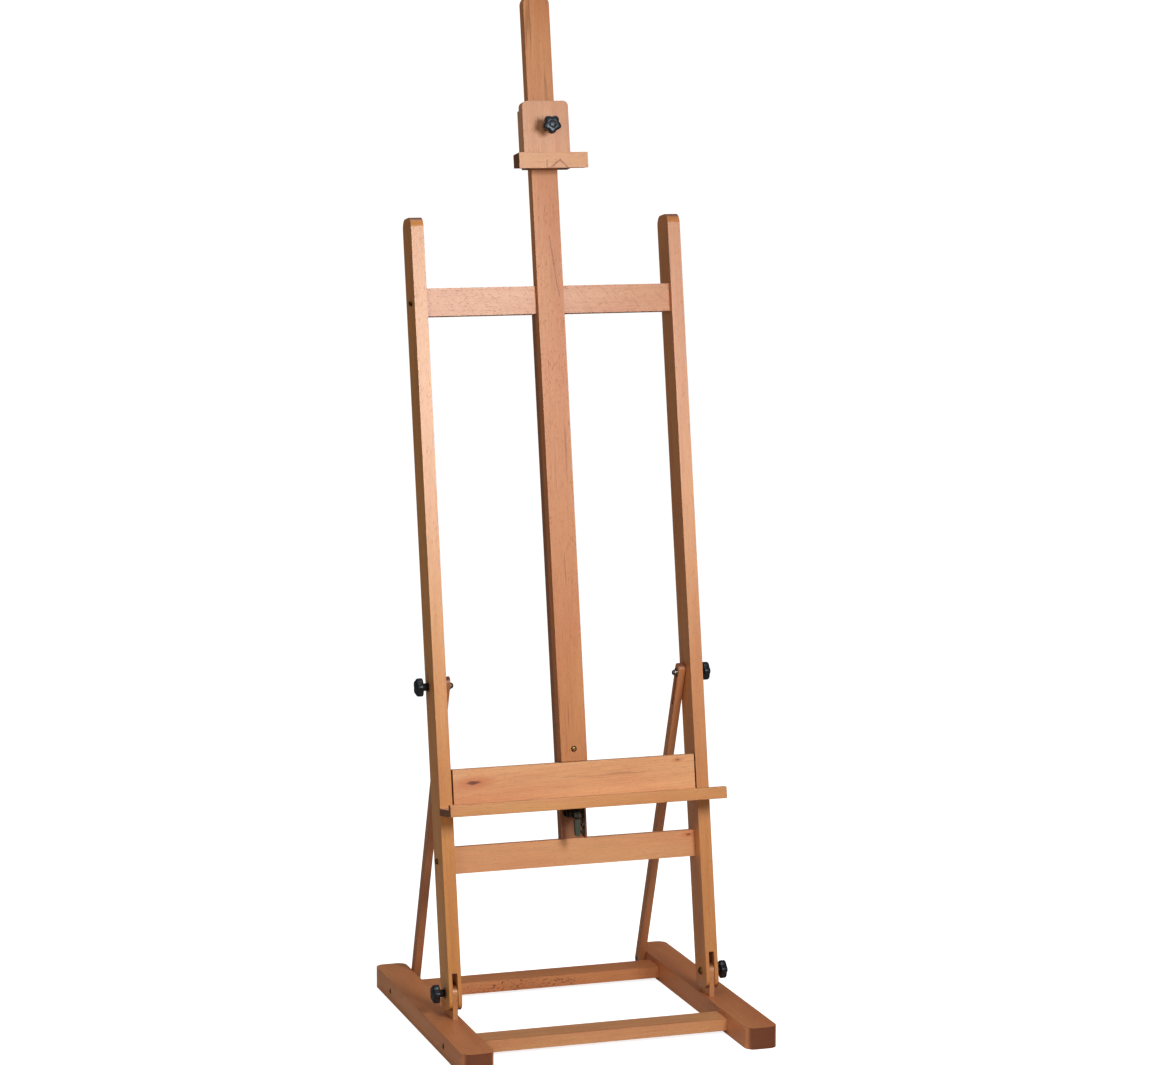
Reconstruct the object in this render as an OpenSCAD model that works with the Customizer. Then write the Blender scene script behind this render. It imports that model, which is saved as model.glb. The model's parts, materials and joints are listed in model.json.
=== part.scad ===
// Wooden H-frame artist easel: two floor runners, a leaning frame with a back
// rail, a ratchet tray, a sliding mast and a clamping canvas holder.
//
// Millimetres. +Z is up, +Y is towards the back, +X is to the artist's right.
// The origin is the middle of the base's footprint, on the floor.
//
// Pieces of the leaning frame are drawn in the frame's own directions:
//   s  along the uprights, upwards from the base pivot
//   t  out of the frame's front face, 0 at the middle of the uprights' depth

/* [Base] */
// Width over the two runners
base_w = 542; // [500:1:620]
// Length of a runner, front to back
runner_len = 581; // [540:1:640]
// Width of a runner
runner_w = 55; // [48:1:64]
// Height of a runner
runner_h = 36.5; // [32:0.5:44]
// Radius of the runners' upright corners
runner_r = 16; // [6:1:24]
// Distance from the runners' front ends to the frame's pivot
pivot_back = 228.5; // [200:0.5:260]
// Height of the frame's pivot above the floor
pivot_z = 76; // [72:1:90]
// Depth of a base rail, front to back
rail_d = 48; // [40:1:56]
// Height of a base rail
rail_h = 20.5; // [16:0.5:24]
// Gap between a base rail and the floor
rail_lift = 7; // [4:1:12]
// Front rail's middle, in front of the pivot
front_rail_ahead = 107.5; // [95:0.5:120]
// Rear rail's middle, behind the pivot
rear_rail_behind = 242; // [225:1:250]
// Thickness of a tongue that the frame turns on
tongue_w = 8.4; // [7:0.1:9]

/* [Frame] */
// Lean of the frame from upright, in degrees
lean = 9.2; // [7:0.1:14]
// Width over the two uprights
frame_w = 476; // [460:1:500]
// Thickness of an upright, side to side
post_w = 22; // [20:1:28]
// Depth of an upright, front to back
post_d = 55; // [48:1:60]
// Height of an upright above the pivot
post_top = 1299; // [1250:1:1400]
// Length of an upright below the pivot
post_foot = 28; // [24:1:32]
// Radius of the uprights' rounded top ends
post_top_r = 17; // [8:1:24]
// Radius of the uprights' rounded feet
post_foot_r = 16; // [8:1:24]
// Bottom edge of the upper crossbar
upper_bar_s = 1132; // [1100:1:1160]
// Front face of the upper crossbar
upper_bar_front = 18; // [14:1:24]
// Height of the upper crossbar
upper_bar_h = 47; // [40:1:52]
// Bottom edge of the lower crossbar
lower_bar_s = 197; // [180:1:215]
// Front face of the lower crossbar
lower_bar_front = 3; // [0:1:6]
// Height of the lower crossbar
lower_bar_h = 45; // [40:1:50]
// Thickness of both crossbars
bar_d = 22; // [20:1:26]

/* [Mast and back rail] */
// Width of the mast and of the back rail
mast_w = 45.8; // [40:0.1:52]
// Thickness of the mast
mast_d = 22.2; // [20:0.1:26]
// Foot of the mast, just above the tray
mast_foot = 373.5; // [373:0.5:376]
// Top of the mast
mast_top = 1673; // [1600:1:1760]
// Radius of the mast's rounded top corners
mast_top_r = 16; // [6:1:20]
// Thickness of the back rail
back_rail_d = 18.9; // [16:0.1:24]
// Width of the slot in the back rail
mast_slot_w = 7.4; // [7:0.1:9]
// Height of the mast's clamp bolt
clamp_s = 394.6; // [390:0.2:410]
// Travel that the back rail's slot allows the mast
mast_travel = 550; // [480:1:560]

/* [Struts] */
// Thickness of a strut, side to side
strut_w = 12.8; // [10:0.1:16]
// Width of a strut's side face
strut_d = 18.8; // [16:0.2:22]
// Strut pivot, behind the frame's pivot
strut_pivot_back = 305; // [295:1:315]
// Height of the strut pivot above the floor
strut_pivot_z = 20; // [16:1:22]
// Strut bolt's height along the uprights
strut_bolt_s = 512; // [480:1:540]
// Strut bolt's place in the uprights' depth
strut_bolt_t = -9; // [-14:0.5:0]
// Strut's length above its bolt
strut_tip = 17; // [14:1:20]
// Furthest that the frame tilts back, in degrees
tilt_max = 12; // [6:1:12]

/* [Tray] */
// Underside of the shelf
shelf_s = 298; // [290:1:305]
// Top edge of the tray board
board_top = 372.5; // [360:0.5:372.5]
// Length of the shelf and its lip
shelf_len = 484; // [470:1:490]
// Sideways shift of the shelf
shelf_shift = 3; // [0:1:4]
// Depth of the shelf in front of the board
shelf_d = 58; // [45:1:65]
// Thickness of the shelf
shelf_h = 11.5; // [9:0.5:15]
// Height of the lip
lip_h = 20; // [16:1:26]
// Thickness of the lip
lip_d = 12; // [9:1:15]
// Height of one tooth of the rack
tooth_pitch = 12; // [12:1:12]
// Number of teeth on the rack
teeth = 26; // [20:1:40]

/* [Canvas holder] */
// Width of the holder's plate
plate_w = 81; // [76:1:92]
// Bottom of the holder
holder_s = 1370.8; // [1340:0.2:1390]
// Top of the holder's plate
plate_top = 1489; // [1470:1:1500]
// Length of the holder's ledge
ledge_len = 120.6; // [110:0.2:140]
// Depth of the ledge in front of the plate
ledge_d = 34; // [24:1:40]
// Height of the ledge
ledge_h = 26.2; // [22:0.2:32]
// Rise of the ledge's underside towards the plate
ledge_rise = 3.6; // [0:0.2:6]
// Height of the clamping knob
holder_knob_s = 1444; // [1440:1:1452]

/* [Knobs and bolts] */
// Diameter over a knob's lobes
knob_dia = 32; // [28:1:36]
// Number of lobes on a knob
knob_lobes = 5; // [5:1:7]
// Thickness of a knob's head
knob_head = 13; // [10:1:16]
// Length of a knob's hub
knob_hub = 9; // [6:1:12]
// Diameter of the base pivot bolts
pivot_bolt_dia = 8; // [6:1:8]
// Diameter of the other bolts
bolt_dia = 6; // [5:1:6]

/* [Hidden] */

WOOD = [0.80, 0.56, 0.38];
WOOD_RED = [0.72, 0.45, 0.30];
STEEL = [0.55, 0.53, 0.50];
BRASS = [0.72, 0.58, 0.32];
BLACK = [0.06, 0.06, 0.07];
OLIVE = [0.22, 0.25, 0.16];

round_fn = 48;
bore_gap = 0.05;        // radial play of a shaft in its bore
seat_gap = 0.1;         // radial play of a fixed bolt or screw in its hole
slide_gap = 0.2;        // play between faces that slide
over = 1;               // how far a cutter runs past the face that it cuts

runner_in = base_w / 2 - runner_w;
post_out = frame_w / 2;
post_in = post_out - post_w;
post_mid = post_out - post_w / 2;
pivot_y = pivot_back - runner_len / 2;
front_rail_y = pivot_y - front_rail_ahead;
rear_rail_y = pivot_y + rear_rail_behind;

rail_front = 6;                                // front face of the back rail
rail_back = rail_front - back_rail_d;
mast_back = rail_front + slide_gap;
mast_front = mast_back + mast_d;
lower_bar_top = lower_bar_s + lower_bar_h;
upper_bar_top = upper_bar_s + upper_bar_h;
upper_bar_back = upper_bar_front - bar_d;
slot_end_gap = 8;                              // slot beyond the clamp bolt's travel
guide_s = 440;                                 // bottom of the mast's guide block
guide_len = 60;
slot_bottom = clamp_s - slot_end_gap;
slot_top = guide_s + guide_len + mast_travel + slot_end_gap;
groove_x0 = -19;                               // groove in the back rail's front
groove_x1 = 20;
groove_floor = 0;

strut_foot = [pivot_y + strut_pivot_back, strut_pivot_z];
function frame_yz(s, t, angle = lean) = [
  pivot_y + s * sin(angle) - t * cos(angle),
  pivot_z + s * cos(angle) + t * sin(angle)
];
function strut_span(angle) = norm(frame_yz(strut_bolt_s, strut_bolt_t, angle) - strut_foot);
strut_top_yz = frame_yz(strut_bolt_s, strut_bolt_t);
strut_lean = atan2(strut_foot[0] - strut_top_yz[0], strut_top_yz[1] - strut_foot[1]);
strut_len = strut_span(lean);
strut_slot = strut_len - strut_span(lean + tilt_max);
strut_slot_w = 8.2;
strut_slot_play = 1.2;
strut_out = post_in - 0.6;                     // strut's face towards the upright
strut_in = strut_out - strut_w;

board_back = mast_back;
board_front = board_back + 21.8;
board_end_gap = 2.5;
lip_back = board_front + shelf_d;
run_gap = 0.6;                                 // between the carriages and what they run on
cheek_x = mast_w / 2 + run_gap;                // inner face of a cheek that rides on a side
cheek_w = 9.5;
keeper_d = 10;                                 // thickness of the carriages' backs

shaft_x = -9;                                  // ratchet shaft
shaft_s = 286;
shaft_r = 4;
tooth_s = 291;                                 // top of the tooth that the pawl stands on
tooth_tip_x = 12.5;
tooth_root_x = 17;
tooth_slope = 8;
rack_x = 19.7;
rack_teeth_below = 3;
rack_bottom = tooth_s - (rack_teeth_below + 1) * tooth_pitch + 3;

plate_back = mast_front + run_gap;
plate_front = plate_back + 21.5;
stud_end = plate_front + 27;                   // where the holder knob's hub ends

washer_h = 1.2;
washer_r = 9;
head_h = 4;                                    // height of a dome-headed bolt's head
screw_r = 2;                                   // wood screws
screw_head_r = 4;

hub_r = 6.5;                                   // knob's hub
lobe_r = 6.4;                                  // round end of a lobe
core_r = 12.8;                                 // knob's radius between two lobes
knob_easing = 4;                               // rounding of the head's outer rim

// ---------- placing ----------

// Draws children in the frame's directions: x, then -t, then s.
module on_frame() {
  translate([0, pivot_y, pivot_z])
    rotate([-lean, 0, 0])
      children();
}

// Draws children for the right side, or mirrored for the left side.
module on_side(side) {
  if (side == "left") mirror([1, 0, 0]) children();
  else children();
}

// A block of the frame between two corners in x, t and s.
module slab(x0, x1, t0, t1, s0, s1) {
  translate([x0, -t1, s0])
    cube([x1 - x0, t1 - t0, s1 - s0]);
}

// A round rod along x.
module rod_x(x0, x1, y, z, r) {
  translate([x0, y, z])
    rotate([0, 90, 0])
      cylinder(h = x1 - x0, r = r, $fn = round_fn);
}

// A round rod of the frame along t.
module rod_t(x, s, t0, t1, r) {
  translate([x, -t0, s])
    rotate([90, 0, 0])
      cylinder(h = t1 - t0, r = r, $fn = round_fn);
}

// A round rod along z, or of the frame along s.
module rod_z(x, y, z0, z1, r) {
  translate([x, y, z0])
    cylinder(h = z1 - z0, r = r, $fn = round_fn);
}

// ---------- shapes ----------

// A rectangle from (0, 0) to (w, h) with its own radius at bottom and top corners.
module round_rect(w, h, r_bottom, r_top) {
  for (x = [r_bottom, w - r_bottom])
    translate([x, r_bottom]) circle(r = r_bottom, $fn = round_fn);
  for (x = [r_top, w - r_top])
    translate([x, h - r_top]) circle(r = r_top, $fn = round_fn);
  translate([0, r_bottom]) square([w, h - r_bottom - r_top]);
  translate([r_bottom, 0]) square([w - 2 * r_bottom, h / 2]);
  translate([r_top, h / 2]) square([w - 2 * r_top, h / 2]);
}

// A slot with round ends from (0, 0) up to (0, len), measured between the end centres.
module round_slot(len, w) {
  circle(d = w, $fn = round_fn);
  translate([0, len]) circle(d = w, $fn = round_fn);
  translate([-w / 2, 0]) square([w, len]);
}

// A profile drawn in (y, z), made w thick along x from x = 0.
module along_x(w) {
  rotate([90, 0, 90])
    linear_extrude(height = w)
      children();
}

// A profile of the frame drawn in (x, s), made thick from t0 to t1.
module along_t(t0, t1) {
  translate([0, -t0, 0])
    rotate([90, 0, 0])
      linear_extrude(height = t1 - t0)
        children();
}

// A dome-headed bolt along +Z: dome below z = 0 with a hex socket, shank above.
module dome_bolt(r, len, head_r, head = head_h) {
  difference() {
    union() {
      rotate_extrude($fn = round_fn)
        polygon([
          [0, -head], [head_r * 0.55, -head], [head_r * 0.86, -head * 0.7],
          [head_r, -head * 0.25], [head_r, 0], [0, 0]
        ]);
      cylinder(h = len, r = r, $fn = round_fn);
    }
    translate([0, 0, -head - over])
      cylinder(h = head * 0.6 + over, r = head_r * 0.42, $fn = 6);
  }
}

// A countersunk screw along +Z with its head's flat face at z = 0.
module flat_screw(r, len, head_r) {
  difference() {
    union() {
      cylinder(h = head_r - r, r1 = head_r, r2 = r, $fn = round_fn);
      cylinder(h = len, r = r, $fn = round_fn);
    }
    for (turn = [0, 90])
      rotate([0, 0, turn])
        translate([-head_r * 0.6, -0.5, -over])
          cube([head_r * 1.2, 1, over + 1.2]);
  }
}

// The hole that a countersunk screw sits in, along +Z from the surface.
module flat_screw_hole(r, len, head_r) {
  translate([0, 0, -over])
    cylinder(h = len + over, r = r + seat_gap, $fn = round_fn);
  translate([0, 0, -0.1])
    cylinder(h = head_r - r + 0.1, r1 = head_r + 0.1, r2 = r, $fn = round_fn);
}

// A lobed knob along +Z: hub from z = 0, then the head, with a blind bore for a stud.
module lobed_knob(bore_r, bore_len, hub = knob_hub) {
  face_r = knob_dia / 2 + 0.2;
  top = hub + knob_head;
  difference() {
    union() {
      cylinder(h = hub + 1, r = hub_r, $fn = round_fn);
      intersection() {
        translate([0, 0, hub])
          linear_extrude(height = knob_head)
            union() {
              circle(r = core_r, $fn = round_fn);
              for (i = [0 : knob_lobes - 1])
                rotate([0, 0, i * 360 / knob_lobes - 90])
                  translate([knob_dia / 2 - lobe_r, 0])
                    circle(r = lobe_r, $fn = round_fn);
            }
        rotate_extrude($fn = round_fn)
          polygon([
            [0, hub], [face_r - knob_easing / 2, hub], [face_r, hub + knob_easing / 2],
            [face_r, top - knob_easing], [face_r - knob_easing, top - 1],
            [face_r * 0.45, top], [0, top]
          ]);
      }
    }
    translate([0, 0, -over])
      cylinder(h = bore_len + over, r = bore_r + bore_gap, $fn = round_fn);
  }
}

// ---------- base ----------

tongue_d = 51;
tongue_top = 17;                               // tongue above the pivot
tongue_foot = 12;                              // bottom of the tongue's mortise
tongue_top_r = 15;
tongue_foot_r = 2;
rail_bolt_len = 95;
rail_bolt_sink = 8;
rail_nut_x = runner_in - 28;
nut_r = 5;                                     // barrel nuts, and the bolts' heads
nut_h = 14;
head_hole_gap = 0.6;                           // room round a sunk bolt head
rail_mid_z = rail_lift + rail_h / 2;
strut_screw_depth = 20;                        // strut screw's length in the runner
strut_screw_head_r = 5.5;

module runner(side) {
  color(WOOD_RED)
    on_side(side)
      difference() {
        translate([runner_in, -runner_len / 2, 0])
          linear_extrude(height = runner_h)
            round_rect(runner_w, runner_len, runner_r, runner_r);
        translate([post_mid - tongue_w / 2, pivot_y - tongue_d / 2, tongue_foot])
          cube([tongue_w, tongue_d, runner_h]);
        for (y = [front_rail_y, rear_rail_y]) {
          rod_x(runner_in - over, base_w / 2, y, rail_mid_z, bolt_dia / 2 + seat_gap);
          rod_x(base_w / 2 - rail_bolt_sink, base_w / 2 + over, y, rail_mid_z,
                nut_r + head_hole_gap);
        }
        rod_x(runner_in - over, runner_in + strut_screw_depth + over, strut_foot[0],
              strut_foot[1], bolt_dia / 2 + seat_gap);
      }
}

module base_rail(y) {
  color(WOOD_RED)
    difference() {
      translate([-runner_in, y - rail_d / 2, rail_lift])
        cube([2 * runner_in, rail_d, rail_h]);
      for (side = ["left", "right"])
        on_side(side) {
          rod_x(base_w / 2 - rail_bolt_sink - rail_bolt_len - 1, runner_in + over, y, rail_mid_z,
                bolt_dia / 2 + seat_gap);
          rod_z(rail_nut_x, y, rail_lift - over, rail_mid_z + nut_h / 2, nut_r + seat_gap);
        }
    }
}

module tongue(side) {
  color(WOOD)
    on_side(side)
      difference() {
        translate([post_mid - tongue_w / 2, pivot_y - tongue_d / 2, tongue_foot])
          along_x(tongue_w)
            round_rect(tongue_d, pivot_z + tongue_top - tongue_foot, tongue_foot_r,
                       tongue_top_r);
        rod_x(post_in, post_out, pivot_y, pivot_z, pivot_bolt_dia / 2 + bore_gap);
      }
}

module rail_bolts() {
  color(STEEL)
    for (side = ["left", "right"], y = [front_rail_y, rear_rail_y])
      on_side(side)
        translate([base_w / 2 - rail_bolt_sink, y, rail_mid_z])
          rotate([0, -90, 0])
            dome_bolt(bolt_dia / 2, rail_bolt_len, nut_r);
}

module rail_nuts() {
  color(STEEL)
    for (side = ["left", "right"], y = [front_rail_y, rear_rail_y])
      on_side(side)
        difference() {
          rod_z(rail_nut_x, y, rail_mid_z - nut_h / 2, rail_mid_z + nut_h / 2, nut_r);
          rod_x(rail_nut_x - 2 * nut_r, rail_nut_x + 2 * nut_r, y, rail_mid_z,
                bolt_dia / 2 + bore_gap);
        }
}

module strut_pivot_screws() {
  color(STEEL)
    for (side = ["left", "right"])
      on_side(side)
        translate([strut_in, strut_foot[0], strut_foot[1]])
          rotate([0, 90, 0])
            flat_screw(bolt_dia / 2, strut_w + strut_screw_depth, strut_screw_head_r);
}

// ---------- frame ----------

fork_top = 34;
fork_w = tongue_w + 0.6;
bar_bolt_len = 70;
bar_nut_x = post_in - 34;
bar_bolt_shift = 2;                            // from the middle of a bar's thickness
bar_bolts = [                                  // each bar's bolts, as [s, t]
  [lower_bar_s + lower_bar_h / 2, lower_bar_front - bar_d / 2 + bar_bolt_shift],
  [upper_bar_s + upper_bar_h / 2, upper_bar_front - bar_d / 2 - bar_bolt_shift]
];
lap_screw_x = 14;
foot_screw_x = 12;
foot_screw_len = 80;
foot_screw_r = 2.5;
foot_screw_head_r = 5;
dado_side_gap = 0.5;                           // mast's play in the upper crossbar's recess
dado_floor_gap = 0.4;
pivot_head_r = 6.5;
strut_head_r = 5.5;
strut_head_h = 6;
small_washer_r = 8;

module upright(side) {
  color(WOOD)
    on_frame()
      on_side(side)
        difference() {
          translate([post_in, -post_d / 2, -post_foot])
            along_x(post_w)
              round_rect(post_d, post_top + post_foot, post_foot_r, post_top_r);
          slab(post_mid - fork_w / 2, post_mid + fork_w / 2, -post_d, post_d,
               -post_foot - over, fork_top);
          rod_x(post_in - over, post_out + over, 0, 0, pivot_bolt_dia / 2 + bore_gap);
          rod_x(post_in - over, post_out + over, -strut_bolt_t, strut_bolt_s,
                bolt_dia / 2 + bore_gap);
          for (b = bar_bolts)
            rod_x(post_in - over, post_out + over, -b[1], b[0], bolt_dia / 2 + seat_gap);
        }
}

// A crossbar's blank with its bolt and barrel-nut holes, from bar_bolts entry b.
module crossbar_blank(b, s0, h, front) {
  difference() {
    slab(-post_in, post_in, front - bar_d, front, s0, s0 + h);
    for (side = ["left", "right"])
      on_side(side) {
        rod_x(post_out - bar_bolt_len - 1, post_in + over, -b[1], b[0], bolt_dia / 2 + seat_gap);
        rod_z(bar_nut_x, -b[1], s0 - over, b[0] + nut_h / 2, nut_r + seat_gap);
      }
  }
}

module lower_crossbar() {
  color(WOOD)
    on_frame()
      difference() {
        crossbar_blank(bar_bolts[0], lower_bar_s, lower_bar_h, lower_bar_front);
        for (x = [-foot_screw_x, foot_screw_x])
          translate([x, foot_screw_y(), lower_bar_s])
            flat_screw_hole(foot_screw_r, foot_screw_len, foot_screw_head_r);
      }
}

module upper_crossbar() {
  color(WOOD)
    on_frame()
      difference() {
        crossbar_blank(bar_bolts[1], upper_bar_s, upper_bar_h, upper_bar_front);
        slab(-mast_w / 2 - dado_side_gap, mast_w / 2 + dado_side_gap,
             mast_back - dado_floor_gap, upper_bar_front + over,
             upper_bar_s - over, upper_bar_top + over);
        lap_screws_at()
          flat_screw_hole(screw_r, lap_screw_len(), screw_head_r);
      }
}

function foot_screw_y() = -(rail_back + groove_floor) / 2;
function lap_screw_len() = mast_back - dado_floor_gap - rail_back - 2;

// Children at the two screws that hold the rail's lap, entering from behind.
module lap_screws_at() {
  for (x = [-lap_screw_x, lap_screw_x])
    translate([x, -rail_back, upper_bar_s + upper_bar_h / 2])
      rotate([90, 0, 0])
        children();
}

module back_rail() {
  color(WOOD)
    on_frame()
      difference() {
        slab(-mast_w / 2, mast_w / 2, rail_back, rail_front, lower_bar_top, upper_bar_top);
        // lap behind the upper crossbar
        slab(-mast_w, mast_w, upper_bar_back, rail_front + over, upper_bar_s,
             upper_bar_top + over);
        // groove for the rack
        slab(groove_x0, groove_x1, groove_floor, rail_front + over, lower_bar_top - over,
             upper_bar_s);
        // slot for the mast's bolt and guide
        along_t(rail_back - over, rail_front + over)
          translate([0, slot_bottom])
            round_slot(slot_top - slot_bottom, mast_slot_w);
        for (x = [-foot_screw_x, foot_screw_x])
          rod_z(x, foot_screw_y(), lower_bar_top - over, lower_bar_s + foot_screw_len,
                foot_screw_r + seat_gap);
        lap_screws_at()
          flat_screw_hole(screw_r, lap_screw_len(), screw_head_r);
      }
}

module back_rail_screws() {
  color(STEEL)
    on_frame() {
      for (x = [-foot_screw_x, foot_screw_x])
        translate([x, foot_screw_y(), lower_bar_s])
          flat_screw(foot_screw_r, foot_screw_len - 1, foot_screw_head_r);
      lap_screws_at()
        flat_screw(screw_r, lap_screw_len() - 0.5, screw_head_r);
    }
}

module ratchet_rack() {
  rack_len = (teeth + 1) * tooth_pitch;
  color(STEEL)
    on_frame()
      along_t(groove_floor, rail_front - 0.6)
        union() {
          translate([tooth_root_x, rack_bottom]) square([rack_x - tooth_root_x, rack_len]);
          for (i = [0 : teeth - 1])
            translate([0, tooth_s + (i - rack_teeth_below) * tooth_pitch])
              polygon([[rack_x, 0], [tooth_tip_x, 0], [tooth_root_x, -tooth_slope],
                       [rack_x, -tooth_slope]]);
        }
}

module crossbar_bolts() {
  color(BRASS)
    on_frame()
      for (side = ["left", "right"], b = bar_bolts)
        on_side(side)
          translate([post_out, -b[1], b[0]])
            rotate([0, -90, 0])
              dome_bolt(bolt_dia / 2, bar_bolt_len, nut_r);
}

module crossbar_nuts() {
  color(STEEL)
    on_frame()
      for (side = ["left", "right"], b = bar_bolts)
        on_side(side)
          difference() {
            rod_z(bar_nut_x, -b[1], b[0] - nut_h / 2, b[0] + nut_h / 2, nut_r);
            rod_x(bar_nut_x - 2 * nut_r, bar_nut_x + 2 * nut_r, -b[1], b[0],
                  bolt_dia / 2 + bore_gap);
          }
}

stud_reach = 18;                               // bolt end beyond the upright, inside its knob

module pivot_bolts() {
  color(STEEL)
    on_frame()
      for (side = ["left", "right"])
        on_side(side)
          translate([post_in, 0, 0])
            rotate([0, 90, 0])
              dome_bolt(pivot_bolt_dia / 2, post_w + stud_reach, pivot_head_r);
}

module strut_bolts() {
  head_x = strut_in - slide_gap - washer_h;
  color(STEEL)
    on_frame()
      for (side = ["left", "right"])
        on_side(side)
          translate([head_x, -strut_bolt_t, strut_bolt_s])
            rotate([0, 90, 0])
              dome_bolt(bolt_dia / 2, post_out + stud_reach - head_x, strut_head_r,
                        strut_head_h);
}

// A flat washer along x from x0.
module washer_x(x0, y, z, hole_r, r) {
  difference() {
    rod_x(x0, x0 + washer_h, y, z, r);
    rod_x(x0 - over, x0 + washer_h + over, y, z, hole_r + seat_gap);
  }
}

module frame_washers() {
  color(STEEL)
    on_frame()
      for (side = ["left", "right"])
        on_side(side) {
          washer_x(post_out, 0, 0, pivot_bolt_dia / 2, washer_r);
          washer_x(post_out, -strut_bolt_t, strut_bolt_s, bolt_dia / 2, washer_r);
          washer_x(strut_in - slide_gap - washer_h, -strut_bolt_t, strut_bolt_s,
                   bolt_dia / 2, small_washer_r);
        }
}

// ---------- struts ----------

module strut(side) {
  end_r = strut_d / 2 - 0.01;
  color(WOOD_RED)
    on_side(side)
      translate([strut_in, strut_foot[0], strut_foot[1]])
        rotate([strut_lean, 0, 0])
          difference() {
            translate([0, -strut_d / 2, -strut_d / 2])
              along_x(strut_w)
                round_rect(strut_d, strut_len + strut_tip + strut_d / 2, end_r, end_r);
            rod_x(-over, strut_w + over, 0, 0, bolt_dia / 2 + bore_gap);
            translate([-0.1, 0, 0])
              rotate([0, 90, 0])
                cylinder(h = strut_screw_head_r + 0.4 - bolt_dia / 2,
                         r1 = strut_screw_head_r + 0.4, r2 = bolt_dia / 2, $fn = round_fn);
            translate([-over, 0, strut_len - strut_slot - strut_slot_play])
              along_x(strut_w + 2 * over)
                round_slot(strut_slot + 2 * strut_slot_play, strut_slot_w);
          }
}

// ---------- knobs of the frame ----------

module side_knob(side, s, t, bore_r) {
  color(BLACK)
    on_frame()
      on_side(side)
        translate([post_out + washer_h + 0.1, -t, s])
          rotate([0, 90, 0])
            lobed_knob(bore_r, stud_reach);
}

// ---------- tray ----------

tray_screw_s = shelf_s + shelf_h / 2;
tray_screw_x = [-150, -50, 50, 150];
cheek_s0 = shelf_s + 10;
cheek_s1 = board_top - 12;
cheek_screw_in = 12;                           // from a cheek's end to its screw
tray_keeper_front = rail_back - run_gap;
tray_keeper_back = tray_keeper_front - keeper_d;
bracket_t = [board_front + 2, board_front + 23];
bracket_x = [shaft_x - 13, shaft_x + 27];
bracket_screw_x = [bracket_x[1] - 5, bracket_x[1] - 13];
bracket_screw_r = 1.75;
bracket_screw_head_r = 3.5;
sheet = 1.8;                                   // thickness of the bracket's steel
bracket_screw_len = 8 + sheet;
ear_w = 20;
ear_drop = 18;

// Children at each screw that ties a cheek to the board and the keeper.
module cheek_screws_at() {
  for (x = [-1, 1], s = [cheek_s0 + cheek_screw_in, cheek_s1 - cheek_screw_in])
    translate([x * (cheek_x + cheek_w / 2), -tray_keeper_back, s])
      rotate([90, 0, 0])
        children();
}

cheek_screw_len = board_back - tray_keeper_back + 12;
shelf_screw_len = 45;

module shelf_screws_at() {
  for (x = tray_screw_x)
    translate([x, -board_back, tray_screw_s])
      rotate([90, 0, 0])
        children();
}

module tray_board() {
  color(WOOD)
    on_frame()
      difference() {
        slab(-post_in + board_end_gap, post_in - board_end_gap, board_back, board_front,
             shelf_s, board_top);
        shelf_screws_at()
          flat_screw_hole(screw_r, shelf_screw_len, screw_head_r);
        cheek_screws_at()
          flat_screw_hole(screw_r, cheek_screw_len, screw_head_r);
      }
}

module tray_shelf() {
  x0 = shelf_shift - shelf_len / 2;
  color(WOOD)
    on_frame()
      difference() {
        slab(x0, x0 + shelf_len, board_front, lip_back, shelf_s, shelf_s + shelf_h);
        shelf_screws_at()
          flat_screw_hole(screw_r, shelf_screw_len, screw_head_r);
        bracket_screws_at()
          flat_screw_hole(bracket_screw_r, bracket_screw_len + 1, bracket_screw_head_r);
      }
}

module tray_lip() {
  x0 = shelf_shift - shelf_len / 2;
  color(WOOD)
    on_frame()
      slab(x0, x0 + shelf_len, lip_back, lip_back + lip_d, shelf_s, shelf_s + lip_h);
}

// Children at the bracket's two screws, entering the shelf from below.
module bracket_screws_at() {
  for (x = bracket_screw_x)
    translate([x, -(bracket_t[0] + bracket_t[1]) / 2, shelf_s - sheet])
      children();
}

module tray_screws() {
  color(STEEL)
    on_frame() {
      shelf_screws_at()
        flat_screw(screw_r, shelf_screw_len - 1, screw_head_r);
      cheek_screws_at()
        flat_screw(screw_r, cheek_screw_len - 1, screw_head_r);
      bracket_screws_at()
        flat_screw(bracket_screw_r, bracket_screw_len, bracket_screw_head_r);
    }
}

module tray_cheek(side) {
  color(WOOD_RED)
    on_frame()
      difference() {
        on_side(side)
          slab(cheek_x, cheek_x + cheek_w, tray_keeper_front, board_back, cheek_s0, cheek_s1);
        cheek_screws_at()
          flat_screw_hole(screw_r, cheek_screw_len, screw_head_r);
      }
}

module tray_keeper() {
  half = cheek_x + cheek_w;
  color(WOOD_RED)
    on_frame()
      difference() {
        slab(-half, half, tray_keeper_back, tray_keeper_front, cheek_s0, cheek_s1);
        cheek_screws_at()
          flat_screw_hole(screw_r, cheek_screw_len, screw_head_r);
      }
}

// ---------- ratchet ----------

pawl_t = [groove_floor + 0.8, rail_front - 1];
pawl_r = 7;                                    // pawl's boss round the shaft
pawl_step = 0.4;                               // gap between the pawl and its tooth
pawl_gap = 0.8;                                // gap between the pawl's nose and the rack
lever_t = [bracket_t[1] + 1, bracket_t[1] + 4];
lever_r = 8;
lever_w = 6;
lever_foot_up = 6;                             // lever's end above the grip's
grip_t = [lever_t[0] - 2, lever_t[1] + 3];
grip_w = 9;
grip_s = [249, 277];
grip_gap = 0.1;
collar_r = shaft_r + 2.5;

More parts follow.
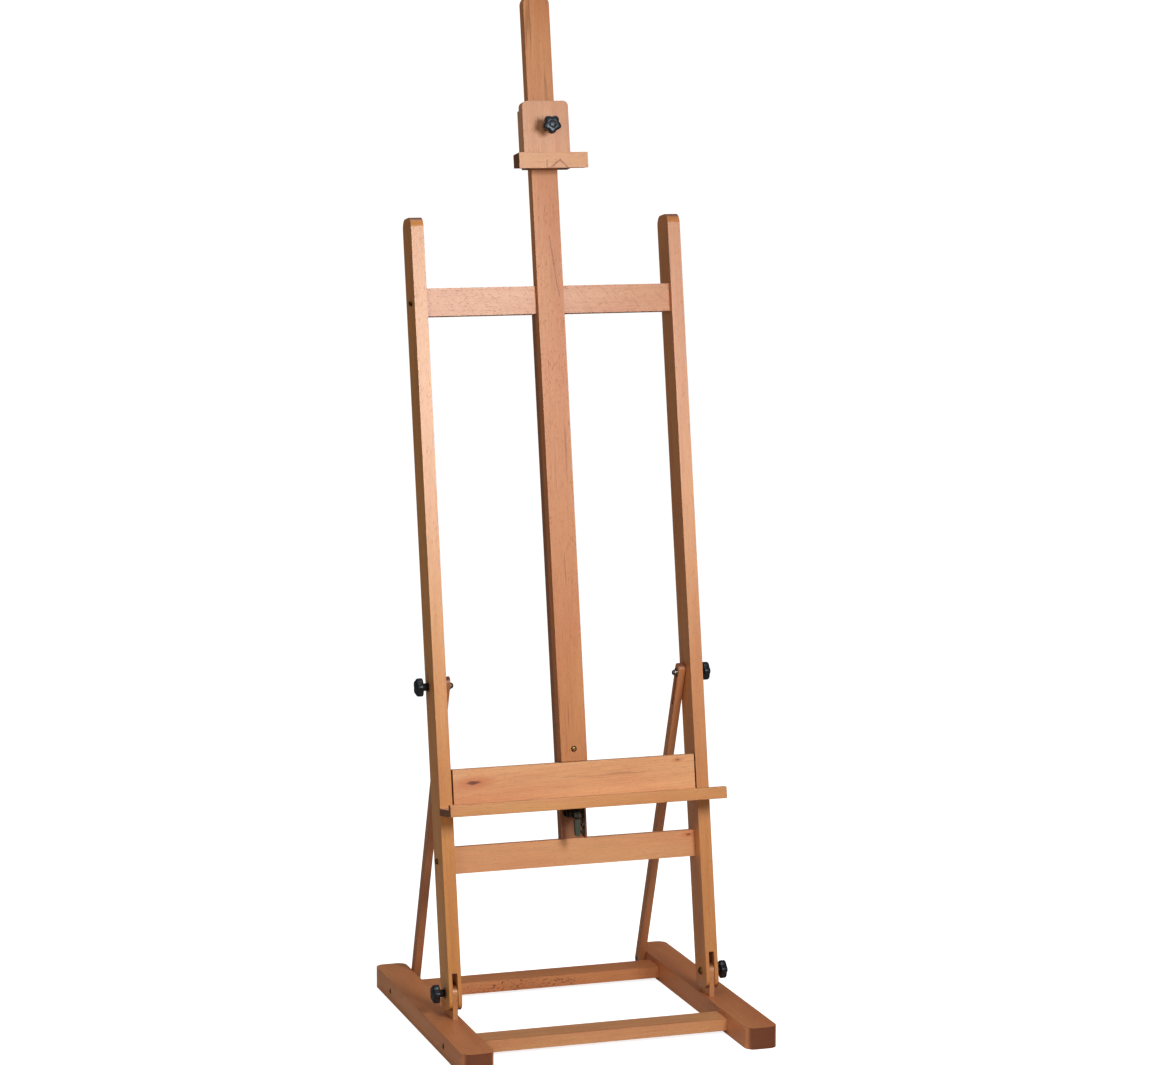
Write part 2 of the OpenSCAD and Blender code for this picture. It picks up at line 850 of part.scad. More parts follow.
module ratchet_bracket() {
  color(STEEL)
    on_frame()
      difference() {
        union() {
          slab(bracket_x[0], bracket_x[1], bracket_t[0], bracket_t[1], shelf_s - sheet, shelf_s);
          for (t = [bracket_t[0], bracket_t[1] - sheet])
            slab(shaft_x - ear_w / 2, shaft_x + ear_w / 2, t, t + sheet,
                 shelf_s - ear_drop, shelf_s - sheet);
        }
        rod_t(shaft_x, shaft_s, bracket_t[0] - over, bracket_t[1] + over, shaft_r + bore_gap);
        bracket_screws_at()
          flat_screw_hole(bracket_screw_r, bracket_screw_len + 1, bracket_screw_head_r);
      }
}

// Return spring: rings round the shaft between the bracket's ears.
module ratchet_spring() {
  wire = 1.2;
  coils = 6;
  pitch = 2.56;
  coil_r = shaft_r + 1.4;
  first_t = bracket_t[0] + sheet + 1.5;
  color(STEEL)
    on_frame()
      for (i = [0 : coils - 1])
        translate([shaft_x, -first_t - i * pitch, shaft_s])
          rotate([90, 0, 0])
            rotate_extrude($fn = 24)
              translate([coil_r, 0])
                circle(d = wire, $fn = 16);
}

module ratchet_shaft() {
  color(STEEL)
    on_frame() {
      rod_t(shaft_x, shaft_s, pawl_t[0], grip_t[1] + 1, shaft_r);
      rod_t(shaft_x, shaft_s, grip_t[1] + 1, grip_t[1] + 2.5, collar_r);
    }
}

module ratchet_pawl() {
  color(STEEL)
    on_frame()
      along_t(pawl_t[0], pawl_t[1])
        difference() {
          union() {
            translate([shaft_x, shaft_s]) circle(r = pawl_r, $fn = round_fn);
            polygon([
              [shaft_x, shaft_s - pawl_r + 0.2],
              [shaft_x + 2 * pawl_r, shaft_s - 2],
              [tooth_tip_x - 0.7, tooth_s + pawl_step],
              [tooth_root_x - pawl_gap, tooth_s + pawl_step],
              [tooth_root_x - pawl_gap, tooth_s + pawl_step + 2.2],
              [tooth_tip_x - 1.5, tooth_s + pawl_r],
              [shaft_x, shaft_s + pawl_r - 0.2]
            ]);
          }
          translate([shaft_x, shaft_s]) circle(r = shaft_r + seat_gap, $fn = round_fn);
        }
}

module ratchet_lever() {
  color(STEEL)
    on_frame()
      along_t(lever_t[0], lever_t[1])
        difference() {
          union() {
            translate([shaft_x, shaft_s]) circle(r = lever_r, $fn = round_fn);
            translate([shaft_x - lever_w / 2, grip_s[0] + lever_foot_up])
              square([lever_w, shaft_s - grip_s[0] - lever_foot_up]);
          }
          translate([shaft_x, shaft_s]) circle(r = shaft_r + seat_gap, $fn = round_fn);
        }
}

module lever_grip() {
  color(OLIVE)
    on_frame()
      difference() {
        along_t(grip_t[0], grip_t[1])
          translate([shaft_x - grip_w / 2, grip_s[0]])
            round_rect(grip_w, grip_s[1] - grip_s[0], 4, 2);
        slab(shaft_x - lever_w / 2 - grip_gap, shaft_x + lever_w / 2 + grip_gap,
             lever_t[0] - grip_gap, lever_t[1] + grip_gap,
             grip_s[0] + lever_foot_up - grip_gap, grip_s[1] + over);
      }
}

// ---------- mast ----------

keeper_gap = 0.4;
mast_keeper_front = rail_back - keeper_gap;
mast_keeper_back = mast_keeper_front - 2;
mast_keeper_w = 30;
keeper_screw_in = 15;                          // from the keeper's end to its screw
mast_head_h = 3;
mast_washer_front = rail_back - 0.15;
mast_bolt_end = mast_washer_front - washer_h - stud_reach;
keeper_screw_len = mast_back - mast_keeper_back + 15;

// Children at the two screws of the mast's keeper, entering from behind.
module keeper_screws_at() {
  for (s = [guide_s + keeper_screw_in, guide_s + guide_len - keeper_screw_in])
    translate([0, -mast_keeper_back, s])
      rotate([90, 0, 0])
        children();
}

module mast() {
  color(WOOD)
    on_frame()
      difference() {
        along_t(mast_back, mast_front)
          translate([-mast_w / 2, mast_foot])
            round_rect(mast_w, mast_top - mast_foot, 1, mast_top_r);
        rod_t(0, clamp_s, mast_back - over, mast_front + over, bolt_dia / 2 + seat_gap);
        keeper_screws_at()
          flat_screw_hole(screw_r, keeper_screw_len, screw_head_r);
      }
}

module mast_bolt() {
  color(STEEL)
    on_frame()
      translate([0, -mast_front, clamp_s])
        rotate([-90, 0, 0])
          dome_bolt(bolt_dia / 2, mast_front - mast_bolt_end, nut_r, mast_head_h);
}

module mast_washer() {
  color(STEEL)
    on_frame()
      difference() {
        rod_t(0, clamp_s, mast_washer_front - washer_h, mast_washer_front, washer_r);
        rod_t(0, clamp_s, mast_washer_front - washer_h - over, mast_washer_front + over,
              bolt_dia / 2 + seat_gap);
      }
}

module mast_guide() {
  half = mast_slot_w / 2 - keeper_gap;
  color(BLACK)
    on_frame()
      difference() {
        slab(-half, half, mast_keeper_front, mast_back, guide_s, guide_s + guide_len);
        keeper_screws_at()
          flat_screw_hole(screw_r, keeper_screw_len, screw_head_r);
      }
}

module mast_keeper() {
  color(STEEL)
    on_frame()
      difference() {
        slab(-mast_keeper_w / 2, mast_keeper_w / 2, mast_keeper_back, mast_keeper_front,
             guide_s, guide_s + guide_len);
        keeper_screws_at()
          flat_screw_hole(screw_r, keeper_screw_len, screw_head_r);
      }
}

module mast_keeper_screws() {
  color(STEEL)
    on_frame()
      keeper_screws_at()
        flat_screw(screw_r, keeper_screw_len - 1, screw_head_r);
}

module mast_knob() {
  color(BLACK)
    on_frame()
      translate([0, -(mast_washer_front - washer_h - 0.1), clamp_s])
        rotate([-90, 0, 0])
          lobed_knob(bolt_dia / 2, stud_reach);
}

// ---------- canvas holder ----------

holder_back_front = mast_back - 2 * run_gap;
holder_back_back = holder_back_front - keeper_d;
holder_cheek_s = [holder_s + 12, plate_top - 10];
holder_screw_in = 14;                          // from a cheek's end to its screw
ledge_screw_x = 37;
ledge_screw_up = 17;
ledge_screw_len = 40;
plate_corner = 9;
insert_r = 6.5;
insert_len = 16;
stud_tip = mast_front + 0.4;
holder_screw_len = plate_front - holder_back_back - 4;

// Children at each screw that ties the holder's back, cheeks and plate.
module holder_screws_at() {
  for (x = [-1, 1], s = [holder_cheek_s[0] + holder_screw_in, holder_cheek_s[1] - holder_screw_in])
    translate([x * (cheek_x + cheek_w / 2), -holder_back_back, s])
      rotate([90, 0, 0])
        children();
}

module holder_plate() {
  color(WOOD)
    on_frame()
      difference() {
        along_t(plate_back, plate_front)
          translate([-plate_w / 2, holder_s + ledge_rise])
            round_rect(plate_w, plate_top - holder_s - ledge_rise, 1, plate_corner);
        rod_t(0, holder_knob_s, plate_back - over, plate_front + over, insert_r + seat_gap);
        holder_screws_at()
          flat_screw_hole(screw_r, holder_screw_len, screw_head_r);
        ledge_screws_at()
          flat_screw_hole(screw_r, ledge_screw_len, screw_head_r);
      }
}

module holder_cheek(side) {
  color(WOOD_RED)
    on_frame()
      difference() {
        on_side(side)
          slab(cheek_x, cheek_x + cheek_w, holder_back_front, plate_back,
               holder_cheek_s[0], holder_cheek_s[1]);
        holder_screws_at()
          flat_screw_hole(screw_r, holder_screw_len, screw_head_r);
      }
}

module holder_back() {
  half = cheek_x + cheek_w;
  color(WOOD_RED)
    on_frame()
      difference() {
        slab(-half, half, holder_back_back, holder_back_front,
             holder_cheek_s[0], holder_cheek_s[1]);
        holder_screws_at()
          flat_screw_hole(screw_r, holder_screw_len, screw_head_r);
      }
}

// Children at the screws that hold the ledge, entering the plate from behind.
module ledge_screws_at() {
  for (x = [-ledge_screw_x, ledge_screw_x])
    translate([x, -plate_back, holder_s + ledge_screw_up])
      rotate([90, 0, 0])
        children();
}

module holder_ledge() {
  color(WOOD)
    on_frame()
      difference() {
        translate([-ledge_len / 2, 0, 0])
          along_x(ledge_len)
            polygon([
              [-plate_front, holder_s + ledge_rise],
              [-plate_front, holder_s + ledge_h],
              [-plate_front - ledge_d, holder_s + ledge_h],
              [-plate_front - ledge_d, holder_s]
            ]);
        ledge_screws_at()
          flat_screw_hole(screw_r, ledge_screw_len, screw_head_r);
      }
}

module holder_screws() {
  color(STEEL)
    on_frame() {
      holder_screws_at()
        flat_screw(screw_r, holder_screw_len - 1, screw_head_r);
      ledge_screws_at()
        flat_screw(screw_r, ledge_screw_len - 1, screw_head_r);
    }
}

module holder_insert() {
  color(BRASS)
    on_frame()
      difference() {
        rod_t(0, holder_knob_s, plate_front - insert_len, plate_front, insert_r);
        rod_t(0, holder_knob_s, plate_front - insert_len - over, plate_front + over,
              pivot_bolt_dia / 2 + bore_gap);
      }
}

module holder_stud() {
  color(STEEL)
    on_frame()
      rod_t(0, holder_knob_s, stud_tip, stud_end - knob_hub + stud_reach - 1,
            pivot_bolt_dia / 2);
}

module holder_knob() {
  color(BLACK)
    on_frame()
      translate([0, -(stud_end - knob_hub), holder_knob_s])
        rotate([90, 0, 0])
          lobed_knob(pivot_bolt_dia / 2, stud_reach);
}

// ---------- output ----------

runner("left");  // runner_left
runner("right");  // runner_right
base_rail(front_rail_y);  // front_rail
base_rail(rear_rail_y);  // rear_rail
tongue("left");  // tongue_left
tongue("right");  // tongue_right
rail_bolts();
rail_nuts();
strut_pivot_screws();
upright("left");  // upright_left
upright("right");  // upright_right
upper_crossbar();
lower_crossbar();
back_rail();
back_rail_screws();
ratchet_rack();
crossbar_bolts();
crossbar_nuts();
pivot_bolts();
strut_bolts();
frame_washers();
strut("left");  // strut_left
strut("right");  // strut_right
side_knob("left", 0, 0, pivot_bolt_dia / 2);  // pivot_knob_left
side_knob("right", 0, 0, pivot_bolt_dia / 2);  // pivot_knob_right
side_knob("left", strut_bolt_s, strut_bolt_t, bolt_dia / 2);  // strut_knob_left
side_knob("right", strut_bolt_s, strut_bolt_t, bolt_dia / 2);  // strut_knob_right
tray_board();
tray_shelf();
tray_lip();
tray_screws();
tray_cheek("left");  // tray_cheek_left
tray_cheek("right");  // tray_cheek_right
tray_keeper();
ratchet_bracket();
ratchet_spring();
ratchet_shaft();
ratchet_pawl();
ratchet_lever();
lever_grip();
mast();
mast_bolt();
mast_washer();
mast_guide();
mast_keeper();
mast_keeper_screws();
mast_knob();
holder_plate();
holder_cheek("left");  // holder_cheek_left
holder_cheek("right");  // holder_cheek_right
holder_back();
holder_ledge();
holder_screws();
holder_insert();
holder_knob();
holder_stud();
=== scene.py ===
"""Looks of the beech studio easel: wood, plastic and metal on the CAD frame, lit as in a studio.

Everything is in metres, in the CAD frame: +Z up, +Y to the back, +X to the artist's right.
"""

import json
import math

import bmesh
import bpy
from mathutils import Matrix, Vector

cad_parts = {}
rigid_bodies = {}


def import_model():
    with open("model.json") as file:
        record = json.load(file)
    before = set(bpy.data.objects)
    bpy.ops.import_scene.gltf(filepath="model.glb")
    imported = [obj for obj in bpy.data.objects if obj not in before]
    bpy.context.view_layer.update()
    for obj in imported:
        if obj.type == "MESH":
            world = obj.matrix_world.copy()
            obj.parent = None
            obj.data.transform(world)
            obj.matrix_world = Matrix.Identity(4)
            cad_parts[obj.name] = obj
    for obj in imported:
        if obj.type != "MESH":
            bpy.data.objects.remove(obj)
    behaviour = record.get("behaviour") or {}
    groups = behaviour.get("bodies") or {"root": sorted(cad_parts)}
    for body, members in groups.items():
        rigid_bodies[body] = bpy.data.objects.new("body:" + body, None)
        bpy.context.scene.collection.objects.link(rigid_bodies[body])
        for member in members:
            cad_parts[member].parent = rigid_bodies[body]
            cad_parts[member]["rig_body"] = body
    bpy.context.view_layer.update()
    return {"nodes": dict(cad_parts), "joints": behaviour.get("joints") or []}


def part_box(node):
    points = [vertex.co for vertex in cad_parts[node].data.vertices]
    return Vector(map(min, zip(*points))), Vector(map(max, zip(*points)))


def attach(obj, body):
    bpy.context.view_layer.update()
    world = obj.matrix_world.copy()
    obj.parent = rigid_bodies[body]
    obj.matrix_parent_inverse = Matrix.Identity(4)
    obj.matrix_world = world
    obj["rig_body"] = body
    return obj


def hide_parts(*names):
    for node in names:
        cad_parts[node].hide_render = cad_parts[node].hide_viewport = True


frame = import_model()

NODES = frame["nodes"]
JOINTS = {joint["name"]: joint for joint in frame["joints"]}
MM = 0.001

# Directions: the leaning frame's upward and outward ones come from the tray's slide.
ACROSS = Vector((1, 0, 0))
BACK = Vector((0, 1, 0))
UP = Vector((0, 0, 1))
FRAME_UP = Vector(JOINTS["tray_lift"]["axis"]).normalized()
FRAME_OUT = ACROSS.cross(FRAME_UP)


def srgb(red, green, blue):
    """A colour given as 0 to 255 sRGB values, as linear RGBA."""

    def linear(value):
        value = value / 255
        return value / 12.92 if value <= 0.04045 else ((value + 0.055) / 1.055) ** 2.4

    return (linear(red), linear(green), linear(blue), 1.0)


def extent(node, axis):
    """Lowest and highest place of a CAD node along a direction."""
    places = [vertex.co.dot(axis) for vertex in NODES[node].data.vertices]
    return min(places), max(places)


# ---------- node graphs ----------


class Graph:
    """Short calls for building a shader node tree."""

    def __init__(self, tree):
        self.tree = tree

    def add(self, kind, **settings):
        node = self.tree.nodes.new(kind)
        for name, value in settings.items():
            setattr(node, name, value)
        return node

    def put(self, value, socket):
        if isinstance(value, bpy.types.NodeSocket):
            self.tree.links.new(value, socket)
        else:
            socket.default_value = value

    def math(self, operation, *values, clamp=False):
        """A sum on numbers or number sockets."""
        node = self.add("ShaderNodeMath", operation=operation, use_clamp=clamp)
        for value, socket in zip(values, node.inputs):
            self.put(value, socket)
        return node.outputs[0]

    def vector(self, operation, *values):
        """A sum on vectors; a dot product or a length gives a number."""
        node = self.add("ShaderNodeVectorMath", operation=operation)
        for value, socket in zip(values, node.inputs):
            self.put(value, socket)
        return node.outputs["Value" if operation in ("DOT_PRODUCT", "LENGTH") else "Vector"]

    def scaled(self, vector, factor):
        node = self.add("ShaderNodeVectorMath", operation="SCALE")
        self.put(vector, node.inputs[0])
        self.put(factor, node.inputs["Scale"])
        return node.outputs["Vector"]

    def noise(self, place, stretch, detail=2.0, rough=0.5, colour=False):
        """Noise with its own number of cells per metre along each direction."""
        node = self.add("ShaderNodeTexNoise")
        self.put(self.vector("MULTIPLY", place, stretch), node.inputs["Vector"])
        node.inputs["Scale"].default_value = 1.0
        node.inputs["Detail"].default_value = detail
        node.inputs["Roughness"].default_value = rough
        return node.outputs["Color" if colour else "Fac"]

    def ramp(self, value, low, high, bottom=0.0, top=1.0):
        """Smooth step of value from low to high, giving bottom to top."""
        node = self.add("ShaderNodeMapRange", interpolation_type="SMOOTHSTEP")
        for name, given in (
            ("Value", value),
            ("From Min", low),
            ("From Max", high),
            ("To Min", bottom),
            ("To Max", top),
        ):
            self.put(given, node.inputs[name])
        return node.outputs["Result"]

    def mix(self, share, first, second, blend="MIX"):
        """The first colour, with a share of the second."""
        node = self.add("ShaderNodeMix", data_type="RGBA", blend_type=blend)
        self.put(share, node.inputs[0])
        self.put(first, node.inputs[6])
        self.put(second, node.inputs[7])
        return node.outputs[2]

    def bump(self, height, distance, strength=1.0):
        """A normal tilted by a height from 0 to 1 that stands for a distance."""
        node = self.add("ShaderNodeBump")
        node.inputs["Strength"].default_value = strength
        node.inputs["Distance"].default_value = distance
        self.put(height, node.inputs["Height"])
        return node.outputs["Normal"]

    def edge(self, radius):
        """1 on an edge and 0 away from it."""
        bevel = self.add("ShaderNodeBevel", samples=4)
        bevel.inputs["Radius"].default_value = radius
        plain = self.add("ShaderNodeNewGeometry").outputs["Normal"]
        same = self.vector("DOT_PRODUCT", bevel.outputs["Normal"], plain)
        return self.ramp(same, 0.995, 0.90)


def new_material(name, **settings):
    """A material with plain numbers set on its Principled shader.

    Gives the material, its graph and the shader.
    """
    material = bpy.data.materials.new(name)
    material.use_nodes = True
    graph = Graph(material.node_tree)
    shader = material.node_tree.nodes["Principled BSDF"]
    for socket, value in settings.items():
        shader.inputs[socket.replace("_", " ")].default_value = value
    return material, graph, shader


# ---------- beech ----------

YEAR_WIDTH = 3.6 * MM  # a year's growth
RING_WANDER = 30 * MM  # how far the rings wander along a piece
RING_RIPPLE = 2.2 * MM
PITH_AWAY = 70 * MM  # from a piece's middle to the middle of its rings, about
PORE_DEPTH = 0.25 * MM
WORN_WIDTH = 2.2 * MM  # darker band along the edges
WOOD_EASING = 1.1 * MM
METAL_EASING = 0.3 * MM
OILED_ROUGHNESS = 0.34

PALE = srgb(220, 164, 120)
TAN = srgb(203, 144, 100)
ROSE = srgb(200, 130, 92)
RING = srgb(158, 94, 56)
FLECK = srgb(134, 76, 44)
VEIN = srgb(140, 66, 22)
EMBER = srgb(186, 96, 50)
KNOT = srgb(94, 36, 14)
END = srgb(98, 48, 20)
MEAN = srgb(206, 146, 103)  # about what the figure comes to; a piece's hue is held against it


def beech_group():
    """Solid beech in metres, grain along Z: rings round a pith, soft streaks and small flecks."""
    tree = bpy.data.node_groups.new("beech_figure", "ShaderNodeTree")
    graph = Graph(tree)
    for name, kind in (
        ("Place", "NodeSocketVector"),
        ("Pith", "NodeSocketVector"),
        ("Rings", "NodeSocketFloat"),
        ("Swirl", "NodeSocketFloat"),
        ("End", "NodeSocketFloat"),
    ):
        tree.interface.new_socket(name, in_out="INPUT", socket_type=kind)
    for name, kind in (
        ("Colour", "NodeSocketColor"),
        ("Height", "NodeSocketFloat"),
        ("Gloss", "NodeSocketFloat"),
    ):
        tree.interface.new_socket(name, in_out="OUTPUT", socket_type=kind)
    given = graph.add("NodeGroupInput").outputs
    result = graph.add("NodeGroupOutput").inputs

    place = given["Place"]
    wander = graph.noise(place, (11, 11, 1.7), 1.0, colour=True)
    wander = graph.vector("SUBTRACT", wander, (0.5, 0.5, 0.5))
    wander = graph.vector("MULTIPLY", wander, (RING_WANDER, RING_WANDER, 0))
    bent = graph.vector("ADD", place, wander)
    spoke = graph.vector("MULTIPLY", graph.vector("SUBTRACT", bent, given["Pith"]), (1, 1, 0))
    radius = graph.math("ADD", graph.vector("LENGTH", spoke), given["Swirl"])
    ripple = graph.noise(place, (60, 60, 7), 2.0)
    radius = graph.math("ADD", radius, graph.math("MULTIPLY", ripple, RING_RIPPLE))
    count = graph.math("DIVIDE", radius, YEAR_WIDTH)
    phase = graph.math("FRACT", count)
    rise = graph.math("POWER", phase, 3.0)
    fall = graph.ramp(phase, 1.0, 0.93)
    ring = graph.math("MULTIPLY", rise, fall)
    year = graph.add("ShaderNodeTexWhiteNoise", noise_dimensions="1D")
    graph.put(graph.math("FLOOR", count), year.inputs["W"])
    strength = graph.math("MULTIPLY_ADD", year.outputs["Value"], 0.7, 0.1)
    ring = graph.math("MULTIPLY", ring, strength)

    broad = graph.noise(place, (14, 14, 1.1), 2.0)
    streak = graph.noise(place, (80, 80, 2.4), 3.0, 0.5)
    fibre = graph.noise(place, (1100, 1100, 22), 2.0)
    fleck = graph.noise(place, (820, 820, 150), 1.0)
    fleck = graph.ramp(fleck, 0.60, 0.72)
    patch = graph.noise(place, (20, 20, 5), 2.0)

    colour = graph.mix(graph.ramp(broad, 0.30, 0.70), PALE, TAN)
    colour = graph.mix(graph.ramp(streak, 0.40, 0.75, 0.0, 0.50), colour, ROSE)
    colour = graph.mix(graph.ramp(patch, 0.42, 0.75, 0.0, 0.45), colour, ROSE)
    colour = graph.mix(graph.math("MULTIPLY", ring, given["Rings"]), colour, RING)
    colour = graph.mix(graph.math("MULTIPLY", fleck, 0.26), colour, FLECK)
    colour = graph.scaled(colour, graph.ramp(fibre, 0.2, 0.8, 0.91, 1.06))
    colour = graph.mix(graph.math("MULTIPLY", given["End"], 0.85), colour, END)

    height = graph.math("MULTIPLY_ADD", fibre, 0.5, graph.math("MULTIPLY", fleck, -0.6))
    height = graph.math("MULTIPLY_ADD", ring, -0.5, height)
    gloss = graph.math("MULTIPLY_ADD", broad, 0.12, graph.math("MULTIPLY", fleck, 0.12))
    gloss = graph.math("MULTIPLY_ADD", given["End"], 0.16, gloss)
    graph.put(colour, result["Colour"])
    graph.put(height, result["Height"])
    graph.put(gloss, result["Gloss"])
    return tree


BEECH = beech_group()


def piece_matrix(along, face):
    """Turns a piece's grain to Z and the normal of its main face to Y."""
    grain = along.normalized()
    normal = (face - grain * face.dot(grain)).normalized()
    return Matrix((normal.cross(grain).normalized(), normal, grain))


class Beech:
    """How one piece's wood looks.

    along is its grain's direction, face the normal of its main face, hue its tone from 0 to 255,
    rings how dark its rings are, tilt how far its grain runs out, in degrees, and oil its sheen.
    """

    def __init__(self, along, face, hue, rings=0.35, tilt=1.2, oil=0.18, marks=()):
        self.along = along
        self.face = face
        self.hue = srgb(*hue)
        self.rings = rings
        self.tilt = tilt
        self.oil = oil
        self.marks = marks


def beech_material(name, look, seed):
    """One piece's own cut of solid beech, laid along its grain."""
    material, graph, shader = new_material(
        "beech_" + name,
        Specular_IOR_Level=0.32 + 0.4 * look.oil,
        Coat_Weight=look.oil,
        Coat_Roughness=0.30,
    )
    turn = piece_matrix(look.along, look.face)
    slant = Matrix.Rotation(math.radians(look.tilt * math.cos(seed * 2.4)), 3, "X")
    slant = slant @ Matrix.Rotation(math.radians(look.tilt * math.sin(seed * 1.7)), 3, "Y")
    low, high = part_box(name)
    middle = turn @ ((low + high) / 2)
    shift = Vector((seed * 0.37, seed * 0.53, seed * 0.71))

    coordinates = graph.add("ShaderNodeTexCoord")
    mapping = graph.add("ShaderNodeMapping", vector_type="POINT")
    mapping.inputs["Rotation"].default_value = (slant @ turn).to_euler()
    mapping.inputs["Location"].default_value = shift
    graph.put(coordinates.outputs["Object"], mapping.inputs["Vector"])
    place = mapping.outputs["Vector"]

    angle = seed * 2.399
    away = Vector((math.cos(angle), math.sin(angle) * 0.8 - 0.5, 0)) * PITH_AWAY
    pith = slant @ middle + shift + away
    along = graph.vector("DOT_PRODUCT", coordinates.outputs["Normal"], tuple(look.along))
    end = graph.ramp(graph.math("ABSOLUTE", along), 0.45, 0.9)

    swirl = 0.0
    tints = []
    for mark in look.marks:
        tint, bulge = mark(graph, place, lambda point: slant @ (turn @ point) + shift)
        tints.append(tint)
        if bulge is not None:
            swirl = graph.math("ADD", bulge, swirl)

    group = graph.add("ShaderNodeGroup", node_tree=BEECH)
    graph.put(place, group.inputs["Place"])
    graph.put(tuple(pith), group.inputs["Pith"])
    graph.put(look.rings, group.inputs["Rings"])
    graph.put(swirl, group.inputs["Swirl"])
    graph.put(end, group.inputs["End"])

    colour = group.outputs["Colour"]
    for tint in tints:
        colour = tint(colour)
    worn = graph.edge(WORN_WIDTH)
    colour = graph.mix(graph.math("MULTIPLY", worn, 0.30), colour, RING)
    cast = tuple(hue / mean for hue, mean in zip(look.hue, MEAN))
    colour = graph.mix(1.0, colour, cast, "MULTIPLY")
    graph.put(colour, shader.inputs["Base Color"])
    rough = graph.math("ADD", group.outputs["Gloss"], OILED_ROUGHNESS)
    rough = graph.math("MULTIPLY_ADD", worn, -0.06, rough)
    graph.put(rough, shader.inputs["Roughness"])
    graph.put(graph.bump(group.outputs["Height"], PORE_DEPTH, 0.6), shader.inputs["Normal"])
    return material


# ---------- marks in the wood ----------
#
# Each of these gives a function that adds its nodes to a piece's graph. That one gives back how the
# mark tints the wood, and how far it bends the rings, or None. Sizes are in metres.


def spot(node, right, up, up_axis=FRAME_UP, out_axis=FRAME_OUT):
    """A point on a piece's front, by its shares to the right and up from the middle (-1 to 1)."""
    point = Vector()
    for axis, share in ((ACROSS, right), (up_axis, up), (out_axis, 1.0)):
        low, high = extent(node, axis)
        point += axis * ((low + high) / 2 + share * (high - low) / 2)
    return point


def wobbled(graph, place, cells, reach):
    """The place, moved a little by noise."""
    shift = graph.noise(place, cells, 2.0, colour=True)
    shift = graph.vector("SUBTRACT", shift, (0.5, 0.5, 0.5))
    shift = graph.vector("MULTIPLY", shift, (reach, reach, reach))
    return graph.vector("ADD", place, shift)


def eye(point, length, width, dark=0.8):
    """A knot at a point of the frame, which the rings bend round."""

    def mark(graph, place, locate):
        offset = wobbled(graph, place, (260, 260, 120), width)
        offset = graph.vector("SUBTRACT", offset, tuple(locate(point)))
        scale = (1 / width, 1 / width, 1 / length)
        distance = graph.vector("LENGTH", graph.vector("MULTIPLY", offset, scale))
        bulge = graph.ramp(distance, 4.0, 0.0, 0.0, 0.010)
        core = graph.ramp(distance, 1.0, 0.35, 0.0, dark)
        halo = graph.ramp(distance, 3.0, 0.7, 0.0, 0.50)
        return lambda colour: graph.mix(core, graph.mix(halo, colour, EMBER), KNOT), bulge

    return mark


def vein(start, end, width, dark=0.6):
    """A thin dark line from one point of the frame to another."""

    def mark(graph, place, locate):
        first, last = locate(start), locate(end)
        way = last - first
        offset = wobbled(graph, place, (90, 90, 90), 3 * width)
        offset = graph.vector("SUBTRACT", offset, tuple(first))
        share = graph.vector("DOT_PRODUCT", offset, tuple(way / way.length_squared))
        share = graph.math("MULTIPLY", share, 1.0, clamp=True)
        gap = graph.vector("SUBTRACT", offset, graph.scaled(tuple(way), share))
        gap = graph.vector("MULTIPLY", gap, (1, 0, 1))
        line = graph.ramp(graph.vector("LENGTH", gap), width, width * 0.2, 0.0, dark)
        return lambda colour: graph.mix(line, colour, VEIN), None

    return mark


def pin_knots(point, reach, height):
    """A run of small dark knots round a point of the frame."""

    def mark(graph, place, locate):
        offset = graph.vector("SUBTRACT", place, tuple(locate(point)))
        scale = (1 / height, 1 / height, 1 / reach)
        near = graph.vector("LENGTH", graph.vector("MULTIPLY", offset, scale))
        spots = graph.ramp(graph.noise(place, (330, 330, 170), 2.0, 0.6), 0.58, 0.66)
        dots = graph.math("MULTIPLY", spots, graph.ramp(near, 1.0, 0.7, 0.0, 0.8))
        return lambda colour: graph.mix(dots, colour, KNOT), None

    return mark


def streaks(strength, low=0.64):
    """Thin dark mineral lines along the grain."""

    def mark(graph, place, locate):
        lines = graph.ramp(graph.noise(place, (150, 150, 6.5), 2.0, 0.5), low, low + 0.1)
        where = graph.ramp(graph.noise(place, (18, 18, 5), 1.0), 0.48, 0.6, 0.0, strength)
        shown = graph.math("MULTIPLY", lines, where)
        return lambda colour: graph.mix(shown, colour, FLECK), None

    return mark


def slanted_flecks(angle, strength):
    """Ray flecks that run across the grain at an angle, in degrees."""

    def mark(graph, place, locate):
        mapping = graph.add("ShaderNodeMapping", vector_type="POINT")
        mapping.inputs["Rotation"].default_value = (0, math.radians(angle), 0)
        graph.put(place, mapping.inputs["Vector"])
        lines = graph.noise(mapping.outputs["Vector"], (260, 40, 38), 2.0, 0.55)
        shown = graph.ramp(lines, 0.54, 0.66, 0.0, strength)
        return lambda colour: graph.mix(shown, colour, RING), None

    return mark


# ---------- metal and plastic ----------


